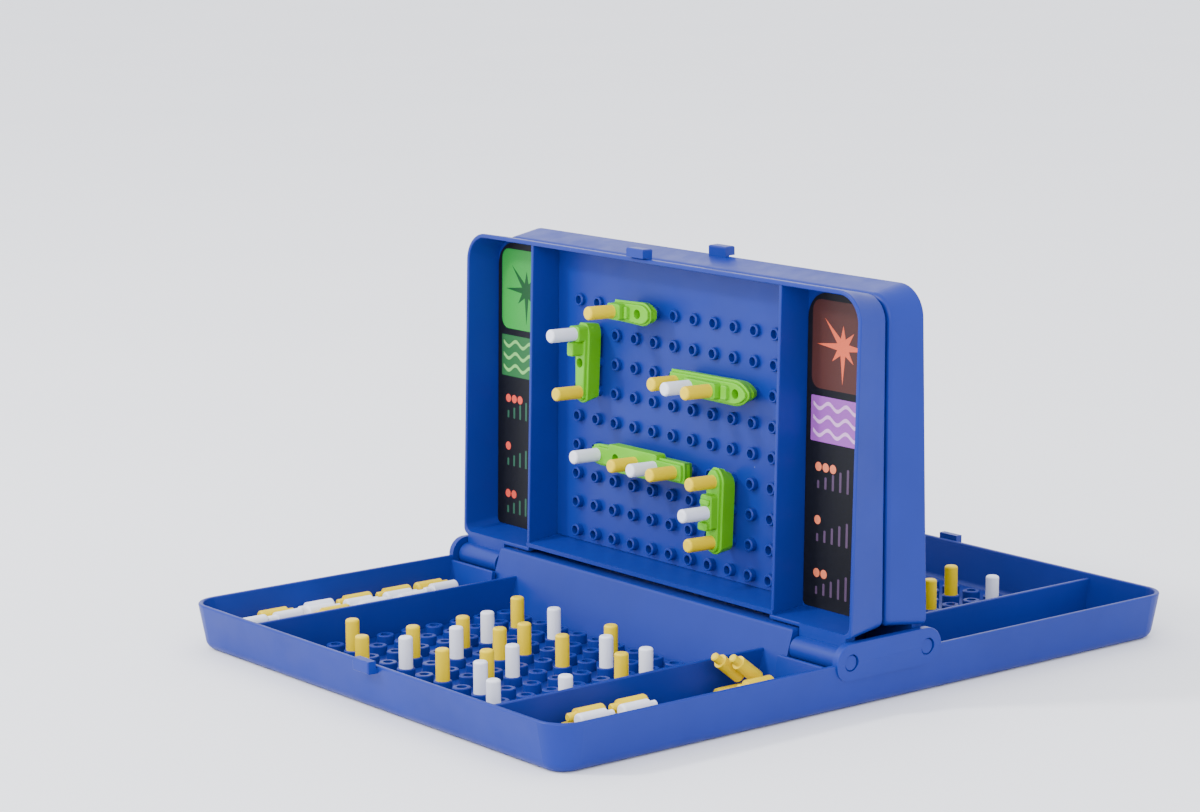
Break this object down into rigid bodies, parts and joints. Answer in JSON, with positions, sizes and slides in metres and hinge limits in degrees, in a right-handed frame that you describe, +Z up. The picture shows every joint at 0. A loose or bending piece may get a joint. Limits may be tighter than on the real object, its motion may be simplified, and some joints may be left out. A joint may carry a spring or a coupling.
{
  "type": "fleet guessing case",
  "caption": "Folding two-player tabletop guessing case: a long tray of peg sockets with two hinged lids standing back to back, each holding small ships on a grid of holes.",
  "frame": {"origin": "middle of the underside of the base tray", "axes": "+Z up, +X along the hinge pins to the front player's right, -Y towards the front player"},
  "size_m": [0.2228, 0.2952, 0.1471],
  "materials": {
    "blue_plastic": "satin",
    "lime_plastic": "satin",
    "yellow_plastic": "satin",
    "white_plastic": "satin",
    "card": "matte"
  },
  "bodies": {
    "base": {"base_tray": "blue_plastic", "front_socket_plate": "blue_plastic", "rear_socket_plate": "blue_plastic", "front_left_loose_white_pegs": "white_plastic", "front_left_loose_yellow_pegs": "yellow_plastic", "front_right_loose_white_pegs": "white_plastic", "front_right_loose_yellow_pegs": "yellow_plastic"},
    "front_lid_unit": {"front_lid": "blue_plastic", "front_hole_plate": "blue_plastic", "front_left_card": "card", "front_right_card": "card", "front_left_hinge_pin": "blue_plastic", "front_right_hinge_pin": "blue_plastic"},
    "front_boat_unit": {"front_boat": "lime_plastic", "front_boat_yellow_pegs": "yellow_plastic"},
    "front_submarine_unit": {"front_submarine": "lime_plastic", "front_submarine_white_pegs": "white_plastic", "front_submarine_yellow_pegs": "yellow_plastic"},
    "front_cruiser_unit": {"front_cruiser": "lime_plastic", "front_cruiser_white_pegs": "white_plastic", "front_cruiser_yellow_pegs": "yellow_plastic"},
    "front_frigate_unit": {"front_frigate": "lime_plastic", "front_frigate_white_pegs": "white_plastic", "front_frigate_yellow_pegs": "yellow_plastic"},
    "front_carrier_unit": {"front_carrier": "lime_plastic", "front_carrier_white_pegs": "white_plastic", "front_carrier_yellow_pegs": "yellow_plastic"},
    "front_yellow_tray_pegs": {"front_yellow_pegs": "yellow_plastic"},
    "front_white_tray_pegs": {"front_white_pegs": "white_plastic"},
    "rear_lid_unit": {"rear_lid": "blue_plastic", "rear_hole_plate": "blue_plastic", "rear_left_card": "card", "rear_right_card": "card", "rear_left_hinge_pin": "blue_plastic", "rear_right_hinge_pin": "blue_plastic"},
    "rear_boat_unit": {"rear_boat": "lime_plastic"},
    "rear_submarine_unit": {"rear_submarine": "lime_plastic"},
    "rear_cruiser_unit": {"rear_cruiser": "lime_plastic"},
    "rear_frigate_unit": {"rear_frigate": "lime_plastic"},
    "rear_carrier_unit": {"rear_carrier": "lime_plastic"},
    "rear_yellow_tray_pegs": {"rear_yellow_pegs": "yellow_plastic"},
    "rear_white_tray_pegs": {"rear_white_pegs": "white_plastic"}
  },
  "joints": [
    {"name": "front_lid_hinge", "type": "hinge", "parent": "base", "child": "front_lid_unit", "pos_m": [0, -0.0179, 0.0174], "axis": [-1, 0, 0], "range_deg": [-91.6, 0]},
    {"name": "front_boat_pull", "type": "slide", "parent": "front_lid_unit", "child": "front_boat_unit", "axis": [0, -0.9996, 0.0279], "range_m": [0, 0.016]},
    {"name": "front_submarine_pull", "type": "slide", "parent": "front_lid_unit", "child": "front_submarine_unit", "axis": [0, -0.9996, 0.0279], "range_m": [0, 0.016]},
    {"name": "front_cruiser_pull", "type": "slide", "parent": "front_lid_unit", "child": "front_cruiser_unit", "axis": [0, -0.9996, 0.0279], "range_m": [0, 0.016]},
    {"name": "front_frigate_pull", "type": "slide", "parent": "front_lid_unit", "child": "front_frigate_unit", "axis": [0, -0.9996, 0.0279], "range_m": [0, 0.016]},
    {"name": "front_carrier_pull", "type": "slide", "parent": "front_lid_unit", "child": "front_carrier_unit", "axis": [0, -0.9996, 0.0279], "range_m": [0, 0.016]},
    {"name": "front_yellow_pegs_lift", "type": "slide", "parent": "base", "child": "front_yellow_tray_pegs", "axis": [0, 0, 1], "range_m": [0, 0.02]},
    {"name": "front_white_pegs_lift", "type": "slide", "parent": "base", "child": "front_white_tray_pegs", "axis": [0, 0, 1], "range_m": [0, 0.02]},
    {"name": "rear_lid_hinge", "type": "hinge", "parent": "base", "child": "rear_lid_unit", "pos_m": [0, 0.0179, 0.0174], "axis": [1, 0, 0], "range_deg": [-91.6, 0]},
    {"name": "rear_boat_pull", "type": "slide", "parent": "rear_lid_unit", "child": "rear_boat_unit", "axis": [0, 0.9996, 0.0279], "range_m": [0, 0.016]},
    {"name": "rear_submarine_pull", "type": "slide", "parent": "rear_lid_unit", "child": "rear_submarine_unit", "axis": [0, 0.9996, 0.0279], "range_m": [0, 0.016]},
    {"name": "rear_cruiser_pull", "type": "slide", "parent": "rear_lid_unit", "child": "rear_cruiser_unit", "axis": [0, 0.9996, 0.0279], "range_m": [0, 0.016]},
    {"name": "rear_frigate_pull", "type": "slide", "parent": "rear_lid_unit", "child": "rear_frigate_unit", "axis": [0, 0.9996, 0.0279], "range_m": [0, 0.016]},
    {"name": "rear_carrier_pull", "type": "slide", "parent": "rear_lid_unit", "child": "rear_carrier_unit", "axis": [0, 0.9996, 0.0279], "range_m": [0, 0.016]},
    {"name": "rear_yellow_pegs_lift", "type": "slide", "parent": "base", "child": "rear_yellow_tray_pegs", "axis": [0, 0, 1], "range_m": [0, 0.02]},
    {"name": "rear_white_pegs_lift", "type": "slide", "parent": "base", "child": "rear_white_tray_pegs", "axis": [0, 0, 1], "range_m": [0, 0.02]}
  ]
}
